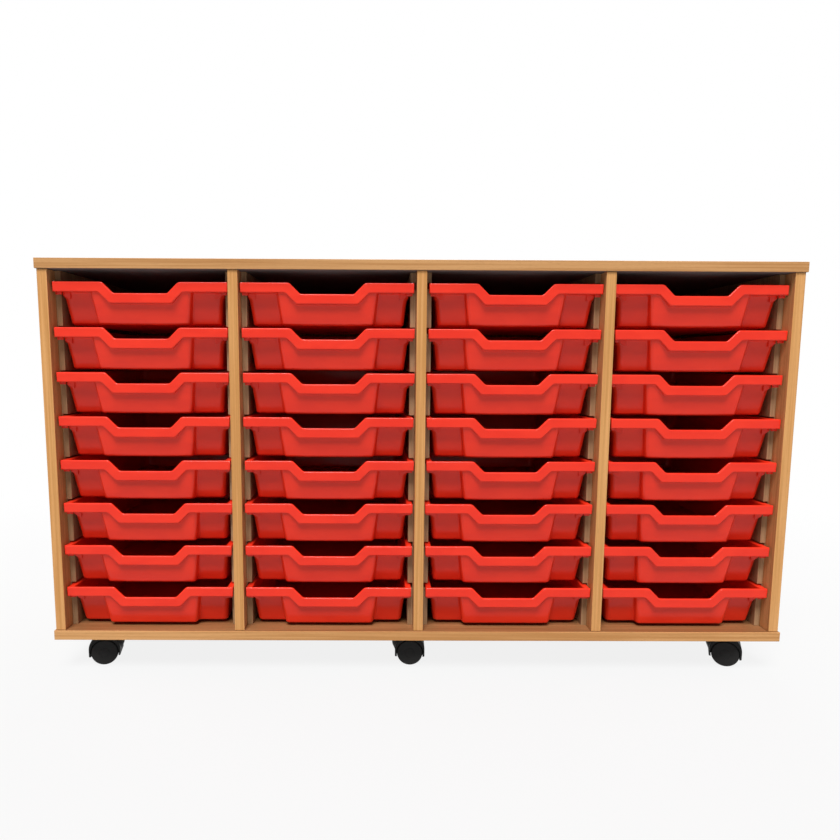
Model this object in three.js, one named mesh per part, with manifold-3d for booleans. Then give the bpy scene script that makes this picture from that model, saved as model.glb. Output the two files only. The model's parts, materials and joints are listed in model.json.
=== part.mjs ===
// Classroom tray storage unit: a beech-effect carcass on castors, with moulded trays that hang by
// their rims in grooved runner liners. Millimetres, +Z up, front towards -Y, origin on the floor
// under the middle of the unit.

import * as THREE from 'three';
import { mergeVertices } from 'three/addons/utils/BufferGeometryUtils.js';
import Module from 'manifold-3d';

const wasm = await Module();
wasm.setup();

// Driving dimensions: carcass
const columns = 4;
const rows = 8;
const boardThickness = 18;
const backThickness = 6;
const edgeOverhang = 3; // top and base past the ends and fronts of the uprights
const rebateDepth = 9; // how far the back panel is let into the boards round it
const seatGap = 0.25; // hairline between fixed pieces
const runningGap = 0.3; // clearance of a piece that slides or turns

// Driving dimensions: room round the trays
const sideRoom = 3.25; // lip end to the board beside it
const lipRecess = 8; // lip face behind the fronts of the uprights
const rearRoom = 8; // rear rim to the back panel
const bottomRoom = 6; // base to the lowest tray
const rowGap = 5.5; // tray to the tray below
const topRoom = 21.5; // highest rim to the top

// Driving dimensions: tray
const trayWidth = 312;
const trayDepth = 427;
const trayHeight = 75;
const trayWall = 2.25;
const rimWidth = 12; // flange past the body
const rimEdge = 8; // height of the downturned edge of the rim
const rimCorner = 10;
const bodyCorner = 16; // cut of the rear corners
const bodyTaper = 6; // how far each side leans in towards the floor
const shoulderDrop = 25; // rim to the stacking shoulder
const shoulderStep = 4;
const shoulderSlope = 4;
const lipHeight = 18;
const dipDepth = 20;
const dipFloor = 96; // level length at the bottom of the dip
const dipRun = 20; // run of each slope of the dip
const frontStep = 20; // front wall behind the face of the lip
const frontLean = 4; // how far the front wall leans back towards the floor
const bayWidth = 183; // forward bay under the dip, at its top
const bayTaper = 7.5;
const baySetback = 1.75; // top of the bay behind the back of the lip
const stopWidth = 10.5; // stop plate behind each end of the lip
const stopDrop = 4.5;
const stopInset = 2.5;

// Driving dimensions: runner liners
const linerThickness = 10;
const grooveWeb = 1; // wood left behind a groove
const grooveHeadroom = 3;
const linerSetback = 23; // liner behind the face of the lip

// Driving dimensions: castors
const wheelRadius = 25;
const wheelWidth = 17;
const wheelSides = 14;
const wheelChamfer = 2.5;
const hubRadius = 9;
const hubDish = 2;
const axleRadius = 4;
const webThickness = 8;
const wheelGap = 1; // wheel to web
const hoodGap = 1.25;
const hoodWall = 2.75;
const hoodSegments = 10;
const hoodLift = 7; // centre of the hood's arch above the axle
const hoodSkirt = 8; // foot of the hood below the axle
const castorTrail = 14;
const headRadius = 20.5;
const headToe = 12; // radius of the head at its foot
const headKnee = 11; // where the head starts to taper, above the axle
const headRise = 3; // top of the hood to the base
const discRadius = 23;
const discThickness = 2.5;
const stemRadius = 5;
const stemLength = 12;
const roundSides = 10;
const castorInset = 56; // swivel axes from the front and back edges
const castorEnd = 89; // swivel axes of the end castors from the ends
const middleCastor = -27; // swivel axes of the middle castors from the middle

// Where each castor's wheel trails at rest, in degrees about its stem, left to right
const frontTrail = [192, -2, -24];
const rearTrail = [172, 197, 14];

// How far each tray has been pushed to one side of its play, from -1 to 1, top to bottom
const sideShare = [
  [0.6, 0.1, 0.1, -0.1, -0.5, 0.7, -1, -0.6],
  [-0.7, 0.3, 0.7, 0, 0.9, 0, -0.3, -0.6],
  [0.9, 0.5, -1, -0.4, 0, -1, 0, 0.9],
  [-1, 1, -0.8, 1, 0, 0, -0.7, 0.6],
];

// Sizes that follow from the driving dimensions
const columnWidth = trayWidth + 2 * sideRoom;
const columnPitch = columnWidth + boardThickness;
const innerLength = columns * columnPitch - boardThickness;
const unitLength = innerLength + 2 * (boardThickness + edgeOverhang);
const innerDepth = lipRecess + trayDepth + rearRoom;
const unitDepth = edgeOverhang + innerDepth + backThickness;
const rowPitch = trayHeight + rowGap;
const innerHeight = bottomRoom + (rows - 1) * rowPitch + trayHeight + topRoom;
const hoodRadius = wheelRadius + hoodGap + hoodWall;
const castorHeight = wheelRadius + hoodLift + hoodRadius + headRise;
const baseTop = castorHeight + boardThickness;
const topUnder = baseTop + innerHeight;
const frontEdge = -unitDepth / 2;
const uprightFront = frontEdge + edgeOverhang;
const lipFace = uprightFront + lipRecess;
const backFace = unitDepth / 2;
const backFront = backFace - backThickness;

const beech = new THREE.MeshStandardMaterial({ color: 0xd0a068, roughness: 0.5 });
const linerWood = new THREE.MeshStandardMaterial({ color: 0xb98d60, roughness: 0.6 });
const trayRed = new THREE.MeshStandardMaterial({ color: 0xd8281e, roughness: 0.35 });
const castorBlack = new THREE.MeshStandardMaterial({ color: 0x1c1c1c, roughness: 0.45 });
const wheelBlack = new THREE.MeshStandardMaterial({ color: 0x262626, roughness: 0.6 });

// A closed three.js geometry as a solid that can be joined and cut
function solid(geometry) {
  const bare = geometry.index ? geometry.clone() : geometry;
  bare.deleteAttribute('normal');
  bare.deleteAttribute('uv');
  const merged = mergeVertices(bare, 1e-4);
  return new wasm.Manifold(new wasm.Mesh({
    numProp: 3,
    vertProperties: new Float32Array(merged.attributes.position.array),
    triVerts: new Uint32Array(merged.index.array),
  }));
}

function join(...solids) {
  return solids.reduce((whole, piece) => whole.add(piece));
}

// The geometry of a finished solid, with its flat faces merged
function geometryOf(shape) {
  const mesh = shape.asOriginal().simplify().getMesh();
  const geometry = new THREE.BufferGeometry();
  geometry.setAttribute('position', new THREE.BufferAttribute(mesh.vertProperties, 3));
  geometry.setIndex(new THREE.BufferAttribute(mesh.triVerts, 1));
  geometry.computeVertexNormals();
  return geometry;
}

function block([x0, x1], [y0, y1], [z0, z1]) {
  const geometry = new THREE.BoxGeometry(x1 - x0, y1 - y0, z1 - z0);
  geometry.translate((x0 + x1) / 2, (y0 + y1) / 2, (z0 + z1) / 2);
  return solid(geometry);
}

// An outline in plan, raised from z0 to z1
function raised(outline, z0, z1) {
  const shape = new THREE.Shape(outline.map(([x, y]) => new THREE.Vector2(x, y)));
  const geometry = new THREE.ExtrudeGeometry(shape, { depth: z1 - z0, bevelEnabled: false });
  geometry.translate(0, 0, z0);
  return solid(geometry);
}

// An outline seen from the front, run back from y0 to y1
function runBack(outline, y0, y1) {
  const shape = new THREE.Shape(outline.map(([x, z]) => new THREE.Vector2(x, z)));
  const geometry = new THREE.ExtrudeGeometry(shape, { depth: y1 - y0, bevelEnabled: false });
  geometry.rotateX(Math.PI / 2);
  geometry.translate(0, y1, 0);
  return solid(geometry);
}

// A round bar along Z, with its corners at the radius, or at its foot at another one
function bar(radius, z0, z1, sides = roundSides, foot = radius) {
  const geometry = new THREE.CylinderGeometry(radius, foot, z1 - z0, sides);
  geometry.rotateX(Math.PI / 2);
  geometry.translate(0, 0, (z0 + z1) / 2);
  return solid(geometry);
}

// The cut for a round hole along Z, with its flats at the radius, so that a bar turns freely in it
function bore(radius, z0, z1, sides = roundSides) {
  return bar(radius / Math.cos(Math.PI / sides), z0, z1, sides);
}

// A skin through rings of as many points each, from the lowest to the highest, closed by its ends
function loft(rings) {
  const count = rings[0].length;
  const points = rings.flat();
  const faces = [];
  for (let level = 0; level + 1 < rings.length; level += 1) {
    for (let i = 0; i < count; i += 1) {
      const next = (i + 1) % count;
      const a = level * count + i;
      const b = level * count + next;
      faces.push([a, b, b + count], [a, b + count, a + count]);
    }
  }
  const flat = rings[0].map(([x, y]) => new THREE.Vector2(x, y));
  const top = (rings.length - 1) * count;
  for (const [a, b, c] of THREE.ShapeUtils.triangulateShape(flat, [])) {
    faces.push([a, c, b], [top + a, top + b, top + c]);
  }
  const geometry = new THREE.BufferGeometry();
  geometry.setAttribute('position', new THREE.Float32BufferAttribute(points.flat(), 3));
  geometry.setIndex(faces.flat());
  return solid(geometry);
}

// Carcass: the boards butt together, and the back panel is let into a rebate round its rim
function flatBoard(z0, z1, rebateZ) {
  const board = block([-unitLength / 2, unitLength / 2], [frontEdge, backFace], [z0, z1]);
  const reach = innerLength / 2 + rebateDepth + seatGap;
  const rebate = block([-reach, reach], [backFront - seatGap, backFace + seatGap], rebateZ);
  return board.subtract(rebate);
}

function topBoard() {
  return flatBoard(topUnder, topUnder + boardThickness, [topUnder - seatGap, topUnder + rebateDepth]);
}

// The base is bored from below for the stems of the castors
function baseBoard() {
  let board = flatBoard(castorHeight, baseTop, [baseTop - rebateDepth, baseTop + seatGap]);
  const socketTop = castorHeight + stemLength + runningGap;
  for (const { x, y } of castorPlaces()) {
    const socket = bore(stemRadius + runningGap, castorHeight - seatGap, socketTop);
    board = board.subtract(socket.translate([x, y, 0]));
  }
  return board;
}

const uprightSpan = [baseTop + seatGap, topUnder - seatGap];

function sideBoard(side) {
  const inner = innerLength / 2;
  const across = [side * inner, side * (inner + boardThickness)].sort((a, b) => a - b);
  const reach = [side * (inner - seatGap), side * (inner + rebateDepth + seatGap)].sort((a, b) => a - b);
  const tall = [baseTop - seatGap, topUnder + seatGap];
  const rebate = block(reach, [backFront - seatGap, backFace + seatGap], tall);
  return block(across, [uprightFront, backFace], uprightSpan).subtract(rebate);
}

function divider(index) {
  const x = -innerLength / 2 + (index + 1) * columnPitch - boardThickness;
  return block([x, x + boardThickness], [uprightFront, backFront - seatGap], uprightSpan);
}

function backPanel() {
  const reach = innerLength / 2 + rebateDepth - seatGap;
  const tall = [baseTop - rebateDepth + seatGap, topUnder + rebateDepth - seatGap];
  return block([-reach, reach], [backFront, backFace], tall);
}

function columnMiddle(column) {
  return (column - (columns - 1) / 2) * columnPitch;
}

function trayFloor(row) {
  return baseTop + bottomRoom + (rows - 1 - row) * rowPitch;
}

// Runner liner: a board with one groove for each tray, in which the edge of the rim rides
function liner(column, side) {
  const wall = columnWidth / 2 - seatGap;
  const face = wall - linerThickness;
  const grooveEnd = wall - grooveWeb;
  const outline = [[wall, uprightSpan[1]], [face, uprightSpan[1]]];
  for (let row = 0; row < rows; row += 1) {
    const rimTop = trayFloor(row) + trayHeight;
    const high = rimTop + grooveHeadroom;
    const low = rimTop - rimEdge - runningGap;
    outline.push([face, high], [grooveEnd, high], [grooveEnd, low], [face, low]);
  }
  outline.push([face, uprightSpan[0]], [wall, uprightSpan[0]]);
  const middle = columnMiddle(column);
  const placed = outline.map(([x, z]) => [middle + side * x, z]);
  return runBack(placed, lipFace + linerSetback, backFront - seatGap);
}

// Tray. Its own frame: middle of the face of the lip at the level of the floor
const bodyHalf = trayWidth / 2 - rimWidth;
const rearWall = trayDepth - rimWidth;
const shoulderTop = trayHeight - shoulderDrop;
const shoulderFoot = shoulderTop - shoulderSlope;
const shelf = trayHeight - lipHeight; // underside of the lip

// One level of the body in plan: a box with its rear corners cut and the bay stepping out of its
// front. lean is how far its sides lie inside those at the rim, and inset is a wall's thickness
function bodyRing(z, lean, inset) {
  const frontShift = frontLean * (1 - z / trayHeight) + inset;
  const side = bodyHalf - lean - inset;
  const rear = rearWall - lean - inset;
  const bayHalf = bayWidth / 2 - bayTaper * (1 - z / trayHeight) - inset;
  const cut = bodyCorner - inset / 2;
  const right = [
    [bayHalf, trayWall + baySetback + frontShift],
    [bayHalf, frontStep + frontShift],
    [side, frontStep + frontShift],
    [side, rear - cut],
    [side - cut, rear],
  ];
  const left = right.map(([x, y]) => [-x, y]).reverse();
  return [...right, ...left].map(([x, y]) => [x, y, z]);
}

// The walls lean in, with a shoulder below the rim on which stacked trays would sit
function body(inset, z0, z1) {
  return loft([
    bodyRing(z0, shoulderStep + bodyTaper, inset),
    bodyRing(shoulderFoot, shoulderStep, inset),
    bodyRing(shoulderTop, 0, inset),
    bodyRing(z1, 0, inset),
  ]);
}

// Edge of the lip from left to right, lowered square to itself by drop
function lipEdge(drop, half) {
  const slope = Math.atan2(dipDepth, dipRun);
  const spread = drop * Math.tan(slope / 2);
  const z = trayHeight - drop;
  const right = [
    [dipFloor / 2 + spread, z - dipDepth],
    [dipFloor / 2 + dipRun + spread, z],
    [half, z],
  ];
  return [...right.map(([x, y]) => [-x, y]).reverse(), ...right];
}

function lipBand(half, upper, lower) {
  return [...lipEdge(lower, half), ...lipEdge(upper, half).reverse()];
}

// Flange with its edge turned down, all round the body
function rim() {
  const ring = (inset, z0, z1) => {
    const half = trayWidth / 2 - inset;
    const rear = trayDepth - inset;
    const cut = rimCorner - inset / 2;
    const right = [[half, inset], [half, rear - cut], [half - cut, rear]];
    return raised([...right, ...right.map(([x, y]) => [-x, y]).reverse()], z0, z1);
  };
  const whole = ring(0, trayHeight - rimEdge, trayHeight);
  return whole.subtract(ring(trayWall, trayHeight - rimEdge - seatGap, trayHeight - trayWall));
}

// Stop plate behind one end of the lip, which meets the front of the liner
function stopPlate(side) {
  const outer = trayWidth / 2 - stopInset;
  const inner = outer - stopWidth;
  const low = shelf - stopDrop;
  const outline = [[inner, low], [outer, low], [outer, trayHeight], [inner, trayHeight]];
  return runBack(outline.map(([x, z]) => [side * x, z]), trayWall / 2, 2 * trayWall);
}

function tray() {
  const past = trayHeight + trayWall;
  const shelfBack = frontStep + 2 * trayWall;
  const outer = join(
    body(0, 0, trayHeight),
    rim(),
    runBack(lipBand(trayWidth / 2, 0, lipHeight), 0, trayWall),
    runBack(lipBand(bodyHalf, 0, lipHeight), 0, shelfBack),
    stopPlate(-1),
    stopPlate(1),
  );
  const dip = lipEdge(0, trayWidth / 2).slice(1, -1);
  const dipEnd = dip[0][0];
  const overDip = [...dip, [-dipEnd, past], [dipEnd, past]];
  const behindLip = lipBand(bodyHalf - trayWall, -trayWall, lipHeight - trayWall);
  return outer
    .subtract(body(trayWall, trayWall, past))
    .subtract(runBack(behindLip, trayWall, shelfBack + trayWall))
    .subtract(runBack(overDip, -trayWall, shelfBack));
}

// Castors. Their own frame: the stem's axis at floor level, with the wheel trailing towards +X
function castorPlaces() {
  const reach = unitLength / 2 - castorEnd;
  const across = [-reach, middleCastor, reach];
  const front = across.map((x, i) => ({ x, y: frontEdge + castorInset, turn: frontTrail[i] }));
  const rear = across.map((x, i) => ({ x, y: backFace - castorInset, turn: rearTrail[i] }));
  return [...front, ...rear];
}

const wheelOuter = webThickness / 2 + wheelGap + wheelWidth;

// The cut for a round hole about the axle
function axleBore(radius, y0, y1, sides) {
  return bore(radius, y0, y1, sides).rotate([90, 0, 0]).translate([castorTrail, y0 + y1, wheelRadius]);
}

// Hood over both wheels, with a web between them, a tapering head under the stem and a disc below
// the base
function castorHousing() {
  const arch = [];
  for (let i = 0; i <= hoodSegments; i += 1) {
    const angle = Math.PI * (i / hoodSegments);
    const x = castorTrail + hoodRadius * Math.cos(angle);
    arch.push([x, wheelRadius + hoodLift + hoodRadius * Math.sin(angle)]);
  }
  const foot = wheelRadius - hoodSkirt;
  arch.push([castorTrail - hoodRadius, foot], [castorTrail + hoodRadius, foot]);
  const knee = wheelRadius + headKnee;
  const discTop = castorHeight - runningGap;
  const well = wheelOuter + wheelGap;
  const wellRadius = wheelRadius + hoodGap;
  const shell = join(
    runBack(arch, -wheelOuter, wheelOuter),
    bar(headRadius, foot, knee, roundSides, headToe),
    bar(headRadius, knee, discTop),
    bar(discRadius, discTop - discThickness, discTop),
    bar(stemRadius, discTop - discThickness, castorHeight + stemLength),
  );
  return shell
    .subtract(axleBore(wellRadius, webThickness / 2, well, wheelSides))
    .subtract(axleBore(wellRadius, -well, -webThickness / 2, wheelSides))
    .subtract(axleBore(axleRadius + runningGap, -well, well, roundSides));
}

// Two wheels on one axle. Each has a chamfered tread and a dished outer face
function wheelPair() {
  const inner = webThickness / 2 + wheelGap;
  const half = [
    [axleRadius, 0],
    [axleRadius, inner],
    [wheelRadius, inner],
    [wheelRadius, wheelOuter - wheelChamfer],
    [wheelRadius - wheelChamfer, wheelOuter],
    [hubRadius, wheelOuter - hubDish],
    [0, wheelOuter - hubDish],
  ];
  const mirrored = half.slice(1).map(([r, y]) => [r, -y]).reverse();
  const flat = 1 / Math.cos(Math.PI / wheelSides); // corners stand out so that the flats are at size
  const profile = [...mirrored, ...half.slice(1)].map(([r, y]) => new THREE.Vector2(r * flat, y));
  const geometry = new THREE.LatheGeometry(profile, wheelSides, Math.PI / wheelSides);
  geometry.translate(castorTrail, 0, wheelRadius);
  return solid(geometry);
}

const unit = new THREE.Group();

function place(name, shape, material, parent = unit) {
  const mesh = new THREE.Mesh(shape.isBufferGeometry ? shape : geometryOf(shape), material);
  mesh.name = name;
  parent.add(mesh);
  return mesh;
}

place('top_board', topBoard(), beech);
place('base_board', baseBoard(), beech);
place('left_side', sideBoard(-1), beech);
place('right_side', sideBoard(1), beech);
place('back_panel', backPanel(), beech);
for (let index = 0; index + 1 < columns; index += 1) {
  place(`divider_${index + 1}`, divider(index), beech);
}

for (let column = 0; column < columns; column += 1) {
  place(`liner_c${column + 1}_left`, liner(column, -1), linerWood);
  place(`liner_c${column + 1}_right`, liner(column, 1), linerWood);
}

const trayGeometry = geometryOf(tray());
const sidePlay = sideRoom - seatGap - grooveWeb - runningGap;
for (let column = 0; column < columns; column += 1) {
  const shares = sideShare[column % sideShare.length];
  for (let row = 0; row < rows; row += 1) {
    const mesh = place(`tray_c${column + 1}_r${row + 1}`, trayGeometry, trayRed);
    const x = columnMiddle(column) + sidePlay * shares[row % shares.length];
    mesh.position.set(x, lipFace, trayFloor(row));
  }
}

const housingGeometry = geometryOf(castorHousing());
const wheelGeometry = geometryOf(wheelPair());
const castorNames = ['front_left', 'front_middle', 'front_right', 'rear_left', 'rear_middle', 'rear_right'];
castorPlaces().forEach(({ x, y, turn }, i) => {
  const castor = new THREE.Group();
  castor.position.set(x, y, 0);
  castor.rotation.z = THREE.MathUtils.degToRad(turn);
  place(`castor_housing_${castorNames[i]}`, housingGeometry, castorBlack, castor);
  place(`castor_wheels_${castorNames[i]}`, wheelGeometry, wheelBlack, castor);
  unit.add(castor);
});

export default unit;
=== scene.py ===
# %% [markdown]
# # Dressing a classroom tray unit
#
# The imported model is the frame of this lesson: each board, tray and castor already stands at its real
# place and size, in metres. What is left is the look of the thing: eased edges, moulded trays with even
# walls, wood grain, satin plastic, soft light and the camera of the photograph.

# %% Load the frame
import json
import math

import bmesh
import bpy
from mathutils import Matrix, Vector


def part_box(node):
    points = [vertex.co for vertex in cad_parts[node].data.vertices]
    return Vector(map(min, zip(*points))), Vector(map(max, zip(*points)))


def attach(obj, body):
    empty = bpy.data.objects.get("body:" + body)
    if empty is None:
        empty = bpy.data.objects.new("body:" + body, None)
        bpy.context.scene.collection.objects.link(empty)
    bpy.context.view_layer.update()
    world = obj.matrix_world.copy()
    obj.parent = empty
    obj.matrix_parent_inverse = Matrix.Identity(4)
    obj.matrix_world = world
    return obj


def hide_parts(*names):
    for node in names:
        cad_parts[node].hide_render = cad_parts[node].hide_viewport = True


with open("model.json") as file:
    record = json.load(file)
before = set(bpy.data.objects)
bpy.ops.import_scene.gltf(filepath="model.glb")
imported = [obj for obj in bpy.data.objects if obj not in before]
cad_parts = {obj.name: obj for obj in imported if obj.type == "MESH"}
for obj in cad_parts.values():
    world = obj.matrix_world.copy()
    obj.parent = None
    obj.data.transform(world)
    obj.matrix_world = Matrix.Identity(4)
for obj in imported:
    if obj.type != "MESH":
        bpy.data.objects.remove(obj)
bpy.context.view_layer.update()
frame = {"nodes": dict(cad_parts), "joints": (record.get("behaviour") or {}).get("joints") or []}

MM = 0.001

# %% [markdown]
# ## Writing shaders as sums
#
# A procedural material is a web of nodes. Wiring them by hand takes many lines, so two small classes
# help here. `Finish` is one material with one method that adds any node. `Wire` is a socket that knows
# arithmetic: writing `1 - mask` adds the Math node and links it.

# %% A socket that does arithmetic
class Wire:
    """A socket that does arithmetic: each operator adds a Math node."""

    def __init__(self, finish, socket):
        self.finish = finish
        self.socket = socket

    def maths(self, operation, first, second):
        return self.finish.node("ShaderNodeMath", {"operation": operation}, {0: first, 1: second})

    def __add__(self, other):
        return self.maths("ADD", self, other)

    def __sub__(self, other):
        return self.maths("SUBTRACT", self, other)

    def __rsub__(self, other):
        return self.maths("SUBTRACT", other, self)

    def __mul__(self, other):
        return self.maths("MULTIPLY", self, other)

    __radd__ = __add__
    __rmul__ = __mul__


print("Sockets can now be added, subtracted and multiplied")


# %% A material with one method that adds a node
class Finish:
    """One procedural material, and the method that adds a node to it."""

    def __init__(self, name):
        self.material = bpy.data.materials.new(name)
        self.material.use_nodes = True
        self.tree = self.material.node_tree
        self.shader = self.tree.nodes["Principled BSDF"]

    def feed(self, socket, value):
        if isinstance(value, Wire):
            self.tree.links.new(value.socket, socket)
        elif socket.type == "RGBA":
            socket.default_value = (*value, 1.0)
        else:
            socket.default_value = value

    def node(self, kind, settings=None, sockets=None, output=0):
        """Add a node: its settings are set first, then the values or wires of its sockets."""
        node = self.tree.nodes.new(kind)
        for key, value in (settings or {}).items():
            setattr(node, key, value)
        for key, value in (sockets or {}).items():
            self.feed(node.inputs[key], value)
        return Wire(self, node.outputs[output])

    def noise(self, grain, detail=2.0):
        """Noise whose spots measure grain, three lengths in metres, along the object's axes."""
        place = self.node("ShaderNodeTexCoord", output="Object")
        scale = [1 / length for length in grain]
        stretched = self.node("ShaderNodeMapping", None, {"Vector": place, "Scale": scale})
        return self.node("ShaderNodeTexNoise", None, {"Vector": stretched, "Scale": 1.0, "Detail": detail})

    def step(self, value, low, high):
        """0 below low and 1 above high, with a smooth rise between."""
        ends = {"Value": value, "From Min": low, "From Max": high}
        return self.node("ShaderNodeMapRange", {"interpolation_type": "SMOOTHSTEP"}, ends)

    def blend(self, share, first, second):
        """A colour between two, by share."""
        return self.node("ShaderNodeMix", {"data_type": "RGBA"}, {0: share, 6: first, 7: second}, 2)

    def relief(self, height, depth):
        """A bump of that depth in metres."""
        return self.node("ShaderNodeBump", None, {"Height": height, "Distance": depth, "Strength": 1.0})

    def surface(self, **sockets):
        for key, value in sockets.items():
            self.feed(self.shader.inputs[key.replace("_", " ")], value)
        return self.material


print("Shader helpers ready")

# %% [markdown]
# ## Beech-effect board
#
# The boards are chipboard with a printed beech foil. Up close the print has three scales: soft bands a
# hand wide, fine lines along the grain, and the short dark flecks that make it beech and not oak. Noise
# stretched along one axis gives all three. The grain runs along the longer way of each board, so the
# uprights and the level boards have a finish each. The level boards carry the same foil, but their faces
# are made darker than the uprights as painted shade, the base darker still, and the front edging of the
# top is a darker copy of the edging as painted shade. Their hidden faces get a dark grey finish that is
# painted shade, which is why the space over the top trays looks so dark.

# %% Beech finishes
ALONG = {"X": 0, "Y": 1, "Z": 2}
FOIL_FLECKS = 0.45
EDGING_FLECKS = 0.2
LINER_FLECKS = 0.3


def beech(name, along, light, dark, fleck_strength):
    finish = Finish(name)

    def streaks(length, width, detail):
        grain = [width] * 3
        grain[ALONG[along]] = length
        return finish.noise(grain, detail)

    bands = streaks(700 * MM, 26 * MM, 3.0)
    lines = streaks(260 * MM, 3.6 * MM, 3.0)
    flecks = finish.step(streaks(9 * MM, 1.1 * MM, 1.0), 0.60, 0.70)
    tone = finish.step(bands * 0.4 + lines * 0.6, 0.38, 0.62)
    shade = finish.blend(tone, dark, light)
    fleck_colour = [0.72 * channel for channel in dark]
    colour = finish.blend(flecks * fleck_strength, shade, fleck_colour)
    rough = 0.40 + lines * 0.12 + flecks * 0.06
    grain = finish.relief(lines - flecks * 0.6, 0.05 * MM)
    return finish.surface(Base_Color=colour, Roughness=rough, Normal=grain, Specular_IOR_Level=0.25)


# The level and base foils are the same beech made darker as painted shade, the base the darker of the two.
beech_level_painted_shade = beech("beech_level_painted_shade", "X", (0.430, 0.205, 0.076), (0.320, 0.138, 0.046), FOIL_FLECKS)
beech_base_painted_shade = beech("beech_base_painted_shade", "X", (0.325, 0.150, 0.060), (0.242, 0.101, 0.036), FOIL_FLECKS)
beech_upright = beech("beech_upright", "Z", (0.600, 0.310, 0.122), (0.450, 0.208, 0.072), FOIL_FLECKS)
edging_level = beech("edging_level", "X", (0.655, 0.345, 0.134), (0.505, 0.238, 0.078), EDGING_FLECKS)
# This copy of the level edging is darker only as painted shade on the front edge of the top.
edging_top_painted_shade = beech("edging_top_painted_shade", "X", (0.585, 0.310, 0.124), (0.450, 0.214, 0.072), EDGING_FLECKS)
edging_end = beech("edging_end", "Y", (0.655, 0.345, 0.134), (0.505, 0.238, 0.078), EDGING_FLECKS)
edging_upright = beech("edging_upright", "Z", (0.700, 0.362, 0.132), (0.545, 0.254, 0.076), EDGING_FLECKS)
liner_beech = beech("liner_beech", "Z", (0.420, 0.268, 0.145), (0.320, 0.188, 0.094), LINER_FLECKS)


def painted_shade_sheet(name):
    """A dark grey finish on the hidden faces of the level boards, as painted shade."""
    finish = Finish(name)
    fibre = finish.noise([40 * MM, 1.5 * MM, 1.5 * MM], 3.0)
    tone = finish.step(fibre, 0.35, 0.65)
    colour = finish.blend(tone, (0.150, 0.128, 0.122), (0.195, 0.166, 0.160))
    return finish.surface(Base_Color=colour, Roughness=0.62 + fibre * 0.15, Specular_IOR_Level=0.2)


# The hidden faces of the level boards get this dark grey as painted shade.
underside_shade = painted_shade_sheet("painted_shade_sheet")
print("Beech finishes:", beech_level_painted_shade.name, beech_upright.name, liner_beech.name, underside_shade.name)

# %% [markdown]
# ## Plastics
#
# The trays are injection moulded in one bright red, with a satin skin: the gloss is broken by a very fine
# spark texture, and slow flow marks shift its colour a little. A thin coat gives the smoother skin that
# catches the light along the rounded edges. The castors are black nylon, duller on the treads, where the
# floor rubs them.

# %% Plastic finishes
def moulded(name, colour, deep, rough, spread, gloss, skin=0.0):
    finish = Finish(name)
    flow = finish.step(finish.noise([60 * MM, 60 * MM, 25 * MM], 3.0), 0.35, 0.65)
    spark = finish.noise([0.5 * MM] * 3, 2.0)
    return finish.surface(
        Base_Color=finish.blend(flow, deep, colour),
        Roughness=rough + flow * spread + spark * spread,
        Normal=finish.relief(spark, 0.012 * MM),
        Specular_IOR_Level=gloss,
        Coat_Weight=skin,
        Coat_Roughness=0.16,
    )


tray_red = moulded(
    "tray_red", (0.850, 0.032, 0.010), (0.800, 0.026, 0.008), rough=0.30, spread=0.10, gloss=0.20, skin=0.3,
)
castor_black = moulded(
    "castor_black", (0.020, 0.0193, 0.0186), (0.0155, 0.0148, 0.0142), rough=0.40, spread=0.12, gloss=0.12,
)
tread_black = moulded(
    "tread_black", (0.023, 0.0223, 0.0216), (0.018, 0.0174, 0.0168), rough=0.50, spread=0.12, gloss=0.12,
)
print("Plastic finishes:", tray_red.name, castor_black.name, tread_black.name)

# %% [markdown]
# ## Putting a piece in the scene
#
# Every piece ends the same way: its mesh gets smooth shading with sharp folds kept, it rides on the body
# that carries it, and unless it is a small extra the solid it stands for is hidden. A Weighted Normal
# modifier keeps big flat faces flat beside their rounded edges.

# %% Finish a piece
SHARP = math.radians(40)


def put(mesh, node, ending, body, materials, stands_in=True):
    mesh.polygons.foreach_set("use_smooth", [True] * len(mesh.polygons))
    mesh.set_sharp_from_angle(angle=SHARP)
    for material in materials:
        mesh.materials.append(material)
    piece = bpy.data.objects.new(f"{node}_{ending}", mesh)
    bpy.context.scene.collection.objects.link(piece)
    piece.modifiers.new("flat_faces", "WEIGHTED_NORMAL").keep_sharp = True
    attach(piece, body)
    if stands_in:
        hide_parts(node)
    return piece


def mesh_of(bm, name):
    mesh = bpy.data.meshes.new(name)
    bm.to_mesh(mesh)
    bm.free()
    return mesh


def round_edges(bm, edges, radius, segments=3):
    bmesh.ops.bevel(
        bm, geom=edges, offset=radius, offset_type="OFFSET", affect="EDGES", segments=segments,
        profile=0.5, material=-1, clamp_overlap=True,
    )


def round_corners(bm, corners, reach, segments=4):
    bmesh.ops.bevel(
        bm, geom=corners, offset=reach, offset_type="OFFSET", affect="VERTICES", segments=segments,
        profile=0.5, material=-1, clamp_overlap=True,
    )


def folds(bm, least):
    """Edges whose two faces meet at more than an angle in degrees."""
    return [e for e in bm.edges if len(e.link_faces) == 2 and e.calc_face_angle() > math.radians(least)]


# %% [markdown]
# ## Boards and runner liners
#
# A board's solid already has its rebates and bores, so it could stay as it is, but a real board never has
# a knife edge: its edging is trimmed to a small radius, and that radius catches the light. A copy of the
# solid is merged, its triangles are dissolved into flat faces, and its edges are bevelled. Faces that look
# to the front, and the ends of the top and base, get an edging finish whose grain runs along the edge.

# %% Boards
def eased_copy(node, radius):
    bm = bmesh.new()
    bm.from_mesh(frame["nodes"][node].data)
    bmesh.ops.remove_doubles(bm, verts=bm.verts, dist=0.02 * MM)
    bmesh.ops.dissolve_limit(bm, angle_limit=math.radians(1), verts=bm.verts, edges=bm.edges)
    round_edges(bm, folds(bm, 30), radius, 2)
    return bm


TURNED = 0.3  # a rounded edge that is turned this far belongs to the edging
FLAT = 0.9


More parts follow.
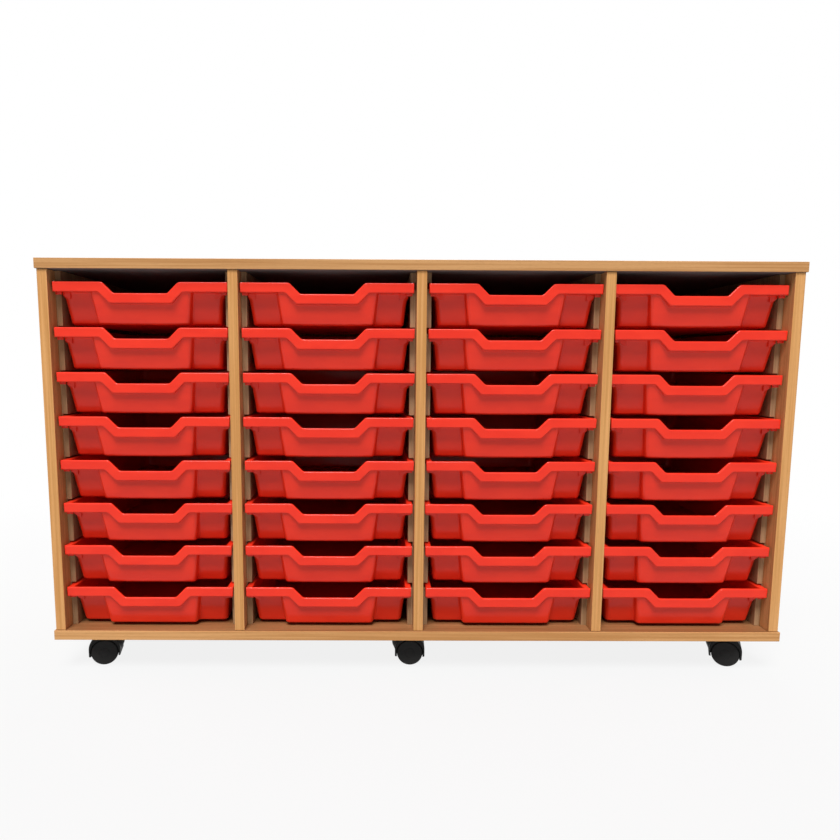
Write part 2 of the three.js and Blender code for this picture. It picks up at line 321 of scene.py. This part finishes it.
def edged(bm, upright):
    """Give each face its slot: 0 for the foil, 1 for the front, 2 under a level board, for the painted
    shade, 3 at its ends.
    """
    for face in bm.faces:
        if face.normal.y < -TURNED:
            face.material_index = 1
        elif upright:
            face.material_index = 0
        elif face.normal.z < -FLAT:
            face.material_index = 2
        elif abs(face.normal.x) > TURNED:
            face.material_index = 3


BOARD_RADIUS = 0.8 * MM
SHEET_RADIUS = 0.5 * MM
level_boards = ["top_board", "base_board"]
upright_boards = ["left_side", "right_side", "divider_1", "divider_2", "divider_3"]
for node in level_boards:
    bm = eased_copy(node, BOARD_RADIUS)
    edged(bm, upright=False)
    # The faces of both level boards and the top's edging are darker copies as painted shade; slot 2 gets the
    # dark grey painted shade.
    faces = [beech_level_painted_shade, edging_top_painted_shade] if node == "top_board" else [beech_base_painted_shade, edging_level]
    put(mesh_of(bm, node), node, "laminate", "carcass", [*faces, underside_shade, edging_end])
for node in upright_boards:
    bm = eased_copy(node, BOARD_RADIUS)
    edged(bm, upright=True)
    put(mesh_of(bm, node), node, "laminate", "carcass", [beech_upright, edging_upright])
bm = eased_copy("back_panel", SHEET_RADIUS)
put(mesh_of(bm, "back_panel"), "back_panel", "sheet", "carcass", [beech_upright])

LINER_RADIUS = 0.3 * MM
liners = [node for node in frame["nodes"] if node.startswith("liner_")]
for node in liners:
    bm = eased_copy(node, LINER_RADIUS)
    put(mesh_of(bm, node), node, "grooved", "carcass", [liner_beech])
print("Boards:", len(level_boards + upright_boards) + 1, "liners:", len(liners))

# %% [markdown]
# ## The tray
#
# A moulded tray is one even sheet of plastic, so it is modelled as a sheet: a floor outline, walls drawn
# up from its edge level by level, a shelf drawn forward under the lip, and a rim drawn out and turned
# down. Solidify then gives the sheet its thickness inwards, as the two halves of a mould would. Its simple
# mode tears the corners where shelf, side and wall meet, so it works in its complex mode, which keeps the
# wall even there. Boolean cuts could make the same form, but they leave no clean folds to round.

# %% Sizes of the tray
TRAY_WIDTH = 312 * MM
TRAY_DEPTH = 427 * MM
TRAY_HEIGHT = 75 * MM
WALL = 2.25 * MM
RIM_WIDTH = 9.5 * MM
LIP_HEIGHT = 18 * MM
body_half = TRAY_WIDTH / 2 - RIM_WIDTH
rear_wall = TRAY_DEPTH - RIM_WIDTH
shelf = TRAY_HEIGHT - LIP_HEIGHT
low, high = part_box("tray_c1_r1")
print("Tray solid, mm:", [round(size / MM, 1) for size in high - low])

# %% How the walls of the tray lean
SIDE_TAPER = 5.5 * MM
SHOULDER_STEP = 3 * MM
SHOULDER_TOP = 50 * MM
SHOULDER_FOOT = 46 * MM
FRONT_STEP = 11.25 * MM
FRONT_LEAN = 18.75 * MM
BAY_HALF = 93.4 * MM
BAY_TAPER = 9.9 * MM
BAY_FRONT = 0
BAY_LEAN = 15 * MM


def side_lean(z):
    """How far a side wall lies inside its place at the rim."""
    if z < SHOULDER_FOOT:
        return SHOULDER_STEP + SIDE_TAPER * (1 - z / SHOULDER_FOOT)
    return SHOULDER_STEP * max(0, SHOULDER_TOP - z) / (SHOULDER_TOP - SHOULDER_FOOT)


def bay_half(z):
    return BAY_HALF - BAY_TAPER * (1 - z / TRAY_HEIGHT)


def wall_front(z):
    return FRONT_STEP + FRONT_LEAN * (1 - z / TRAY_HEIGHT)


def bay_front(z):
    return BAY_FRONT + BAY_LEAN * (1 - z / TRAY_HEIGHT)


def leaned(y, z0, z1):
    """Where a point of the front walls at one level comes to lie at another."""
    share = (y - bay_front(z0)) / (wall_front(z0) - bay_front(z0))
    if share > 1:
        return y + wall_front(z1) - wall_front(z0)
    return bay_front(z1) + share * (wall_front(z1) - bay_front(z1))


print("Front walls behind the lip, mm:", [round(front(shelf) / MM, 1) for front in (bay_front, wall_front)])

# %% Floor and walls of the tray
BAY_CORNER = 7 * MM
NOOK_CORNER = 4 * MM
SIDE_CORNER = 9 * MM
REAR_CORNER = 16 * MM
DIP_DEPTH = 20 * MM
DIP_FLOOR = 96 * MM
DIP_RUN = 20 * MM
FRONT_ZONE = 60 * MM
REAR_ZONE = 300 * MM
SIDE_ZONE = 100 * MM
dip_spread = LIP_HEIGHT * math.tan(math.atan2(DIP_DEPTH, DIP_RUN) / 2)
dip_low = DIP_FLOOR / 2 + dip_spread
dip_high = dip_low + DIP_RUN


def drawn_out(bm, edges):
    """Extrude a run of edges; returns the new run and its corners."""
    made = bmesh.ops.extrude_edge_only(bm, edges=edges)["geom"]
    corners = {item for item in made if isinstance(item, bmesh.types.BMVert)}
    run = [item for item in made if isinstance(item, bmesh.types.BMEdge) and corners.issuperset(item.verts)]
    return run, corners


def tray_floor(bm):
    bay, side = bay_half(0), body_half - side_lean(0)
    near, front, rear = bay_front(0), wall_front(0), rear_wall - side_lean(0)
    shrink = bay / bay_half(shelf)
    right = [
        (dip_low * shrink, near), (dip_high * shrink, near), (bay, near),
        (bay, front), (side, front), (side, rear),
    ]
    outline = right + [(-x, y) for x, y in reversed(right)]
    corners = [bm.verts.new((x, y, 0)) for x, y in outline]
    bm.faces.new(corners)
    for place, reach in enumerate((BAY_CORNER, NOOK_CORNER, SIDE_CORNER, REAR_CORNER), 2):
        round_corners(bm, [corners[place], corners[-1 - place]], reach)


def tray_walls(bm):
    run = list(bm.edges)
    levels = [0, SHOULDER_FOOT, SHOULDER_TOP, shelf]
    for z0, z1 in zip(levels, levels[1:]):
        run, corners = drawn_out(bm, run)
        spread = side_lean(z0) - side_lean(z1)
        for v in corners:
            if abs(v.co.x) > SIDE_ZONE:
                v.co.x += math.copysign(spread, v.co.x)
            else:
                v.co.x *= bay_half(z1) / bay_half(z0)
            if v.co.y > REAR_ZONE:
                v.co.y += spread
            if v.co.y < FRONT_ZONE:
                v.co.y = leaned(v.co.y, z0, z1)
            v.co.z = z1
    for v in bm.verts:
        if abs(v.co.x) < (dip_low + dip_high) / 2 and v.co.y < FRONT_ZONE:
            lowered = v.co.z * (shelf - DIP_DEPTH) / shelf
            v.co.y = leaned(v.co.y, v.co.z, lowered)
            v.co.z = lowered
    return run


tub = bmesh.new()
tray_floor(tub)
top_run = tray_walls(tub)
print("Tray walls:", len(tub.faces), "faces")

# %% Shelf and rim of the tray
LIP_BACKING = 1 * MM
RIM_EDGE = 8 * MM
BAY_FAN = 0.12  # how far the corners of the bay spread along the lip as they come forward


def middle(edge):
    return (edge.verts[0].co + edge.verts[1].co) / 2


def open_edges(bm, behind=-math.inf):
    """Free edges of the sheet, or only those that lie further back than a given place."""
    return [e for e in bm.edges if e.is_boundary and middle(e).y > behind]


def tray_shelf(bm, run):
    front = [e for e in run if all(v.co.y < FRONT_ZONE for v in e.verts)]
    for v in drawn_out(bm, front)[1]:
        if abs(v.co.x) < SIDE_ZONE:
            v.co.x += math.copysign(BAY_FAN * (v.co.y - bay_front(shelf)), v.co.x)
        else:
            v.co.x = math.copysign(body_half - SIDE_CORNER + v.co.y - wall_front(shelf), v.co.x)
        v.co.y = LIP_BACKING
    for v in drawn_out(bm, open_edges(bm))[1]:
        v.co.z += LIP_HEIGHT - WALL


def tray_rim(bm):
    behind_lip = LIP_BACKING + 0.5 * MM
    centre = Vector((body_half - REAR_CORNER, rear_wall - REAR_CORNER))
    for v in drawn_out(bm, open_edges(bm, behind_lip))[1]:
        outward = Vector((max(abs(v.co.x) - centre.x, 0), max(v.co.y - centre.y, 0))).normalized()
        v.co.x += math.copysign(outward.x, v.co.x) * (RIM_WIDTH - WALL)
        v.co.y += outward.y * (RIM_WIDTH - WALL)
    for v in drawn_out(bm, open_edges(bm, behind_lip))[1]:
        v.co.z -= RIM_EDGE - WALL


tray_shelf(tub, top_run)
tray_rim(tub)
print("Tray sheet:", len(tub.faces), "faces")

# %% Rounded folds and thickness of the tray
FLOOR_RADIUS = 4 * MM
FOLD_RADIUS = 1.4 * MM
CROWDED_REACH = 3 * MM
FREE_EDGE = 0.6 * MM
HAIR = 0.1 * MM


def crowded(edge):
    """Whether an edge lies at an end of the shelf, where two roundings would run into each other."""
    point = middle(edge)
    at_side = abs(point.x) > body_half - CROWDED_REACH and point.y < FRONT_ZONE
    return at_side and shelf - HAIR < point.z < TRAY_HEIGHT - RIM_EDGE


def thickened(bm):
    """The sheet with an even wall, and its free edges rounded."""
    sheet = bpy.data.objects.new("tray_sheet", mesh_of(bm, "tray_sheet"))
    bpy.context.scene.collection.objects.link(sheet)
    shell = sheet.modifiers.new("wall", "SOLIDIFY")
    shell.thickness = WALL
    shell.offset = -1
    shell.solidify_mode = "NON_MANIFOLD"
    shell.nonmanifold_thickness_mode = "CONSTRAINTS"
    shell.nonmanifold_boundary_mode = "NONE"
    soft = sheet.modifiers.new("free_edges", "BEVEL")
    soft.width = FREE_EDGE
    soft.segments = 2
    soft.limit_method = "ANGLE"
    soft.angle_limit = math.radians(60)
    depsgraph = bpy.context.evaluated_depsgraph_get()
    mesh = bpy.data.meshes.new_from_object(sheet.evaluated_get(depsgraph))
    bpy.data.objects.remove(sheet)
    limit = TRAY_WIDTH / 2 - HAIR
    for v in mesh.vertices:  # the rim stays just inside the faces of the lip
        v.co.x = max(-limit, min(limit, v.co.x))
        v.co.z = min(v.co.z, TRAY_HEIGHT - HAIR / 2)
    return mesh


bmesh.ops.recalc_face_normals(tub, faces=tub.faces)
floor_face = min(tub.faces, key=lambda f: f.calc_center_median().z)
if floor_face.normal.z > 0:
    bmesh.ops.reverse_faces(tub, faces=tub.faces)
round_edges(tub, list(floor_face.edges), FLOOR_RADIUS)
round_edges(tub, [e for e in folds(tub, 35) if not crowded(e)], FOLD_RADIUS)
tub_mesh = thickened(tub)
print("Tray shell:", len(tub_mesh.polygons), "faces")

# %% [markdown]
# ## The lip
#
# What the eye meets first is the lip: a flat band with a dip in the middle for the fingers. It is drawn as
# an outline from the front, its bends are rounded as corners, and it is extruded to its thickness. A larger
# radius runs round its face, where it catches the light, than round its back. Behind each end hang a stop
# plate with two ribs and a gusset that stiffens the corner. They are flat, so each is an outline drawn from
# the front and extruded, which takes fewer steps than cutting them from a block.

# %% Lip
LIP_THICKNESS = 4 * MM
LIP_FACE_RADIUS = 2.2 * MM
LIP_BACK_RADIUS = 0.6 * MM
LIP_BEND = 3 * MM


def lip_band(bm):
    half = TRAY_WIDTH / 2
    lower = [(dip_low, shelf - DIP_DEPTH), (dip_high, shelf), (half, shelf)]
    upper = [(half, TRAY_HEIGHT), (dip_high - dip_spread, TRAY_HEIGHT)]
    upper += [(dip_low - dip_spread, TRAY_HEIGHT - DIP_DEPTH)]
    right = lower + upper
    outline = right + [(-x, z) for x, z in reversed(right)]
    corners = [bm.verts.new((x, 0, z)) for x, z in outline]
    bm.faces.new(corners)
    bends = [v for v in corners if abs(v.co.x) < half - HAIR]
    round_corners(bm, bends, LIP_BEND)
    made = bmesh.ops.extrude_face_region(bm, geom=list(bm.faces))["geom"]
    back = [item for item in made if isinstance(item, bmesh.types.BMVert)]
    bmesh.ops.translate(bm, verts=back, vec=(0, LIP_THICKNESS, 0))
    bmesh.ops.recalc_face_normals(bm, faces=bm.faces)
    face_rim = [e for e in folds(bm, 60) if all(v.co.y < HAIR for v in e.verts)]
    round_edges(bm, face_rim, LIP_FACE_RADIUS, 4)
    round_edges(bm, folds(bm, 60), LIP_BACK_RADIUS, 2)


lip = bmesh.new()
lip_band(lip)
print("Lip:", len(lip.faces), "faces")

# %% Stop plates, ribs and gussets
def plate(bm, outline, near, far, radius):
    """Add a plate: (x, z) corners in mm as seen from the front, between two depths in mm."""
    part = bmesh.new()
    part.faces.new([part.verts.new((x * MM, near * MM, z * MM)) for x, z in outline])
    made = bmesh.ops.extrude_face_region(part, geom=list(part.faces))["geom"]
    moved = [item for item in made if isinstance(item, bmesh.types.BMVert)]
    bmesh.ops.translate(part, verts=moved, vec=(0, (far - near) * MM, 0))
    bmesh.ops.recalc_face_normals(part, faces=part.faces)
    round_edges(part, folds(part, 30), radius * MM, 2)
    bm.from_mesh(mesh_of(part, "plate"))


STOP = [(145, 73), (153.5, 73), (153.5, 52.5), (143, 52.5), (143, 58), (145, 58)]
GUSSET = [(130, 58.5), (143.5, 58.5), (143.5, 52), (134, 45.5), (130, 45.5)]
RIBS = [(143.2, 144.8), (151.7, 153.3)]
RIB_TOP, RIB_FOOT = 58, 53
for side in (-1, 1):
    plate(lip, [(side * x, z) for x, z in STOP], near=8, far=10.5, radius=0.7)
    plate(lip, [(side * x, z) for x, z in GUSSET], near=14, far=16, radius=0.6)
    for x0, x1 in RIBS:
        rib = [(x0, RIB_TOP), (x1, RIB_TOP), (x1, RIB_FOOT), (x0, RIB_FOOT)]
        plate(lip, [(side * x, z) for x, z in rib], near=6, far=8.5, radius=0.5)
lip.from_mesh(tub_mesh)
tray_mesh = mesh_of(lip, "tray")
print("Whole tray:", len(tray_mesh.polygons), "faces")

# %% [markdown]
# ## A tray in every place
#
# One finished mesh serves all the trays. Each gets its own copy with its place written into the mesh, so
# that the object stays at the origin and patterns on object coordinates run on through the whole unit.

# %% Place the trays
trays = [node for node in frame["nodes"] if node.startswith("tray_")]
for node in trays:
    low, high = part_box(node)
    copy = tray_mesh.copy()
    copy.transform(Matrix.Translation(((low.x + high.x) / 2, low.y, low.z)))
    put(copy, node, "moulding", node, [tray_red])
print("Trays placed:", len(trays))

# %% [markdown]
# ## Castors
#
# A twin-wheel castor has turned forms and one moulded hood. The wheels are a full turn about the axle and
# the head a full turn about the stem, so spin makes both. The hood is an arch drawn from the side, extruded
# to its width with its rims rounded. The space of the wheels is then taken out of hood and head with a
# Boolean modifier, because that hollow isn't round about the same centre as the arch.

# %% Wheels
AXLE_HEIGHT = 25 * MM
TRAIL = 14 * MM
axle = Vector((TRAIL, 0, AXLE_HEIGHT))


def spun(bm, points, centre, axis, steps=48):
    """Turn a run of points right round an axis."""
    corners = [bm.verts.new(point) for point in points]
    run = [bm.edges.new(pair) for pair in zip(corners, corners[1:])]
    bmesh.ops.spin(
        bm, geom=corners + run, cent=centre, axis=axis, angle=math.tau, steps=steps, use_merge=True,
    )
    bmesh.ops.remove_doubles(bm, verts=bm.verts, dist=0.01 * MM)
    bmesh.ops.recalc_face_normals(bm, faces=bm.faces)


def about_axle(profile):
    """Points given in mm by their distance from the axle and their place along it."""
    return [axle + Vector((radius * MM, along * MM, 0)) for radius, along in profile]


def wheel_mesh():
    bm = bmesh.new()
    half = [
        (3.8, 0), (3.8, 5), (23.5, 5), (24.6, 5.4), (25, 6.5), (25, 18.6), (24.7, 20.2), (23.8, 21.4),
        (22.4, 22), (10.4, 21.4), (9.6, 20.8), (8.8, 20.9), (8, 21.4), (0, 21.6),
    ]
    profile = [(r, -y) for r, y in reversed(half)] + half[1:]
    spun(bm, about_axle(profile), axle, (0, 1, 0))
    return mesh_of(bm, "wheels")


wheels = wheel_mesh()
print("Wheel pair:", len(wheels.polygons), "faces")

# %% Hood
HOOD_RADIUS = 28.8 * MM
HOOD_LIFT = 6.8 * MM
HOOD_HALF = 22 * MM
HOOD_FOOT = 17 * MM
HOOD_EDGE = 1.6 * MM


def hood_mesh():
    """An arch with straight skirts, as wide as the wheels."""
    bm = bmesh.new()
    crown = axle + Vector((0, -HOOD_HALF, HOOD_LIFT))
    start = bm.verts.new(crown + Vector((HOOD_RADIUS, 0, 0)))
    bmesh.ops.spin(bm, geom=[start], cent=crown, axis=(0, 1, 0), angle=-math.pi, steps=28)
    bm.verts.ensure_lookup_table()
    sides = [v for v in bm.verts if len(v.link_edges) == 1]
    for v in sides:
        foot = bmesh.ops.extrude_vert_indiv(bm, verts=[v])["verts"][0]
        foot.co.z = HOOD_FOOT
    bmesh.ops.contextual_create(bm, geom=[v for v in bm.verts if len(v.link_edges) == 1])
    bmesh.ops.contextual_create(bm, geom=list(bm.edges))
    made = bmesh.ops.extrude_face_region(bm, geom=list(bm.faces))["geom"]
    far = [item for item in made if isinstance(item, bmesh.types.BMVert)]
    bmesh.ops.translate(bm, verts=far, vec=(0, 2 * HOOD_HALF, 0))
    bmesh.ops.recalc_face_normals(bm, faces=bm.faces)
    round_edges(bm, folds(bm, 60), HOOD_EDGE)
    return mesh_of(bm, "hood")


hood = hood_mesh()
print("Hood:", len(hood.polygons), "faces")

# %% Head
def head_mesh():
    """Stem, top disc and tapering head, turned about the stem."""
    bm = bmesh.new()
    profile = [
        (0, 76), (4.2, 76), (5, 75.2), (5, 63.7), (22.5, 63.7), (23, 63.2), (23, 61.8), (22.5, 61.2),
        (19.8, 61.2), (20.5, 60.4), (20.5, 38), (19.8, 34.6), (13.4, 20), (11.6, 18.2), (9.6, 17.4),
        (0, 17.4),
    ]
    spun(bm, [(r * MM, 0, z * MM) for r, z in profile], (0, 0, 0), (0, 0, 1))
    return mesh_of(bm, "head")


head = head_mesh()
print("Head:", len(head.polygons), "faces")

# %% Housing, with room for the wheels
def wheel_space():
    bm = bmesh.new()
    half = [(0, 4), (26.25, 4), (26.25, 26), (0, 26)]
    for side in (-1, 1):
        spun(bm, about_axle([(r, side * y) for r, y in half]), axle, (0, 1, 0))
    return mesh_of(bm, "wheel_space")


def less(mesh, space):
    """A mesh with another one taken out of it."""
    cutter = bpy.data.objects.new("cutter", space)
    whole = bpy.data.objects.new("whole", mesh)
    for item in (cutter, whole):
        bpy.context.scene.collection.objects.link(item)
    cut = whole.modifiers.new("cut", "BOOLEAN")
    cut.operation = "DIFFERENCE"
    cut.object = cutter
    depsgraph = bpy.context.evaluated_depsgraph_get()
    result = bpy.data.meshes.new_from_object(whole.evaluated_get(depsgraph))
    for item in (cutter, whole):
        bpy.data.objects.remove(item)
    return result


def housing_mesh():
    bm = bmesh.new()
    space = wheel_space()
    for form in (hood, head):
        bm.from_mesh(less(form, space))
    return mesh_of(bm, "housing")


housing = housing_mesh()
print("Castor housing:", len(housing.polygons), "faces")

# %% [markdown]
# ## Turning each castor its own way
#
# The joints of the frame say where each stem stands and where its axle trails, so no angle is written here:
# each castor is turned so that its wheel falls on its own axle.

# %% Place the castors
joints = {joint["name"]: joint for joint in frame["joints"]}
castor_names = [n.removeprefix("castor_housing_") for n in frame["nodes"] if n.startswith("castor_housing_")]
for name in castor_names:
    stem = Vector(joints[f"castor_{name}_swivel"]["pos_m"])
    wheel = Vector(joints[f"castor_{name}_roll"]["pos_m"])
    turn = math.atan2(wheel.y - stem.y, wheel.x - stem.x)
    place = Matrix.Translation((stem.x, stem.y, 0)) @ Matrix.Rotation(turn, 4, "Z")
    for source, node, ending, body, slot, finish in (
        (housing, f"castor_housing_{name}", "hood", f"castor_{name}", "castor_plastic", castor_black),
        (wheels, f"castor_wheels_{name}", "treads", f"wheels_{name}", "wheel_plastic", tread_black),
    ):
        copy = source.copy()
        copy.transform(place)
        put(copy, node, ending, body, [finish])
print("Castors placed:", len(castor_names))

# %% [markdown]
# ## Caps on the back panel
#
# The thin back panel is screwed to the boards round it, and a small plastic cap hides each screw. One cap
# is a flat dome, turned about its own screw, and the whole set is one mesh because nobody will ever move
# one alone.

# %% Screw caps
CAP_EDGE = 14 * MM
cap_plastic = moulded(
    "cap_beech", (0.600, 0.310, 0.118), (0.540, 0.265, 0.096), rough=0.35, spread=0.10, gloss=0.30,
)


def cap_places():
    low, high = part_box("back_panel")
    xs = [low.x + CAP_EDGE + (high.x - low.x - 2 * CAP_EDGE) * step / 6 for step in range(7)]
    level = [(x, z) for x in xs for z in (low.z + CAP_EDGE, high.z - CAP_EDGE)]
    thirds = [low.z + (high.z - low.z) * step / 3 for step in (1, 2)]
    dividers = [sum(corner.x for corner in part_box(node)) / 2 for node in upright_boards[2:]]
    upright = [(x, z) for x in (xs[0], *dividers, xs[-1]) for z in thirds]
    return level + upright, high.y


places, back_face = cap_places()
bm = bmesh.new()
for x, z in places:
    cap = bmesh.new()
    dome = [(0, 0.55), (2.6, 0.5), (4.2, 0.35), (4.8, 0.1), (5, -0.4), (0, -0.4)]
    centre = Vector((x, back_face, z))
    spun(cap, [centre + Vector((r * MM, y * MM, 0)) for r, y in dome], centre, (0, 1, 0), 20)
    bm.from_mesh(mesh_of(cap, "cap"))
put(mesh_of(bm, "caps"), "back_panel", "caps", "carcass", [cap_plastic], stands_in=False)
print("Screw caps:", len(places))

# %% [markdown]
# ## Floor, light and background
#
# The photograph is a cut-out on white, so the floor is pale and fades into a white world. The light on the
# unit is a plain soft one from above the camera, with weak ones for the back and the ends, which the
# photograph doesn't show. What the camera, a mirror or glass sees of the world is white, while the light
# that it gives stays at a plain level.

# %% Floor
FADE_FROM, FADE_TO = 0.9, 2.2
NEAR_WHITE = 0.86


def pale_floor():
    finish = Finish("pale_floor")
    place = finish.node("ShaderNodeTexCoord", output="Object")
    radius = finish.node("ShaderNodeVectorMath", {"operation": "LENGTH"}, {0: place}, "Value")
    far = finish.step(radius, FADE_FROM, FADE_TO)
    finish.surface(Base_Color=(0.40, 0.40, 0.40), Roughness=0.9)
    white = finish.node("ShaderNodeEmission", None, {"Color": (1, 1, 1), "Strength": 1.0})
    path = finish.node("ShaderNodeLightPath").socket.node.outputs
    shown = Wire(finish, path["Is Camera Ray"])
    for ray in ("Is Glossy Ray", "Is Transmission Ray"):
        shown = shown.maths("MAXIMUM", shown, Wire(finish, path[ray]))
    share = shown * (NEAR_WHITE + far * (1 - NEAR_WHITE))
    mixed = finish.node(
        "ShaderNodeMixShader", None, {0: share, 1: Wire(finish, finish.shader.outputs[0]), 2: white},
    )
    output = finish.tree.nodes["Material Output"]
    finish.feed(output.inputs["Surface"], mixed)
    return finish.material


bm = bmesh.new()
bmesh.ops.create_circle(bm, cap_ends=True, radius=9, segments=96)
floor_mesh = mesh_of(bm, "floor")
floor_mesh.materials.append(pale_floor())
floor = bpy.data.objects.new("floor", floor_mesh)
bpy.context.scene.collection.objects.link(floor)
print("Floor:", [round(length, 2) for length in floor.dimensions], "m")

# %% World
AMBIENT = 0.16
world = bpy.data.worlds.new("studio")
bpy.context.scene.world = world
world.use_nodes = True
nodes, links = world.node_tree.nodes, world.node_tree.links
background = nodes["Background"]
background.inputs["Color"].default_value = (1, 1, 1, 1)
light_path = nodes.new("ShaderNodeLightPath")
total = None
for ray in ("Is Camera Ray", "Is Glossy Ray", "Is Transmission Ray"):
    add = nodes.new("ShaderNodeMath")
    add.operation = "MAXIMUM"
    links.new(light_path.outputs[ray], add.inputs[0])
    if total is None:
        add.inputs[1].default_value = AMBIENT
    else:
        links.new(total, add.inputs[1])
    total = add.outputs[0]
links.new(total, background.inputs["Strength"])
print("World ready, ambient", AMBIENT)

# %% Lamps
def soft_box(name, place, target, width, height, power):
    lamp = bpy.data.lights.new(name, "AREA")
    lamp.shape = "RECTANGLE"
    lamp.size = width
    lamp.size_y = height
    lamp.energy = power
    holder = bpy.data.objects.new(name, lamp)
    holder.location = place
    holder.rotation_euler = (Vector(target) - Vector(place)).to_track_quat("-Z", "Y").to_euler()
    bpy.context.scene.collection.objects.link(holder)


MIDDLE = (0, -0.2, 0.42)
soft_box("key", (-2.0, -10.1, 17.6), MIDDLE, width=9.0, height=8.0, power=5350)
soft_box("rear", (0.6, 2.6, 4.0), MIDDLE, width=3.0, height=2.0, power=90)
soft_box("left", (-4.2, 0.9, 3.0), MIDDLE, width=2.5, height=2.5, power=80)
soft_box("right", (4.2, 0.9, 3.0), MIDDLE, width=2.5, height=2.5, power=80)

# %% [markdown]
# ## The camera of the photograph
#
# The edges of the boards in the photograph fix the camera: it stands a little left of the middle, at about
# the height of the second row, and looks slightly down. Blender gives the focal length in millimetres on a
# 36 mm sensor, and the place where the lens points is moved off the middle of the picture by a small shift.

# %% Camera
PICTURE = 840
FOCAL_PIXELS = 680
CENTRE_PIXEL = (380.1, 444.1)
CAMERA_PLACE = (-0.080, -1.4548, 0.5895)
SENSOR = 36
camera = bpy.data.cameras.new("camera")
camera.sensor_width = SENSOR
camera.lens = SENSOR * FOCAL_PIXELS / PICTURE
camera.shift_x = (PICTURE / 2 - CENTRE_PIXEL[0]) / PICTURE
camera.shift_y = (CENTRE_PIXEL[1] - PICTURE / 2) / PICTURE
camera.clip_start = 0.05
viewer = bpy.data.objects.new("camera", camera)
pitch, yaw, roll = math.radians(7.029), math.radians(-0.309), math.radians(0.268)
level = Matrix.Rotation(math.pi / 2, 4, "X")
aim = Matrix.Rotation(yaw, 4, "Z") @ Matrix.Rotation(-pitch, 4, "X") @ level @ Matrix.Rotation(roll, 4, "Z")
viewer.matrix_world = Matrix.Translation(CAMERA_PLACE) @ aim
bpy.context.scene.collection.objects.link(viewer)
bpy.context.scene.camera = viewer
bpy.context.scene.view_settings.view_transform = "Standard"
print("Lens", round(camera.lens, 2), "mm, shift", round(camera.shift_x, 4), round(camera.shift_y, 4))
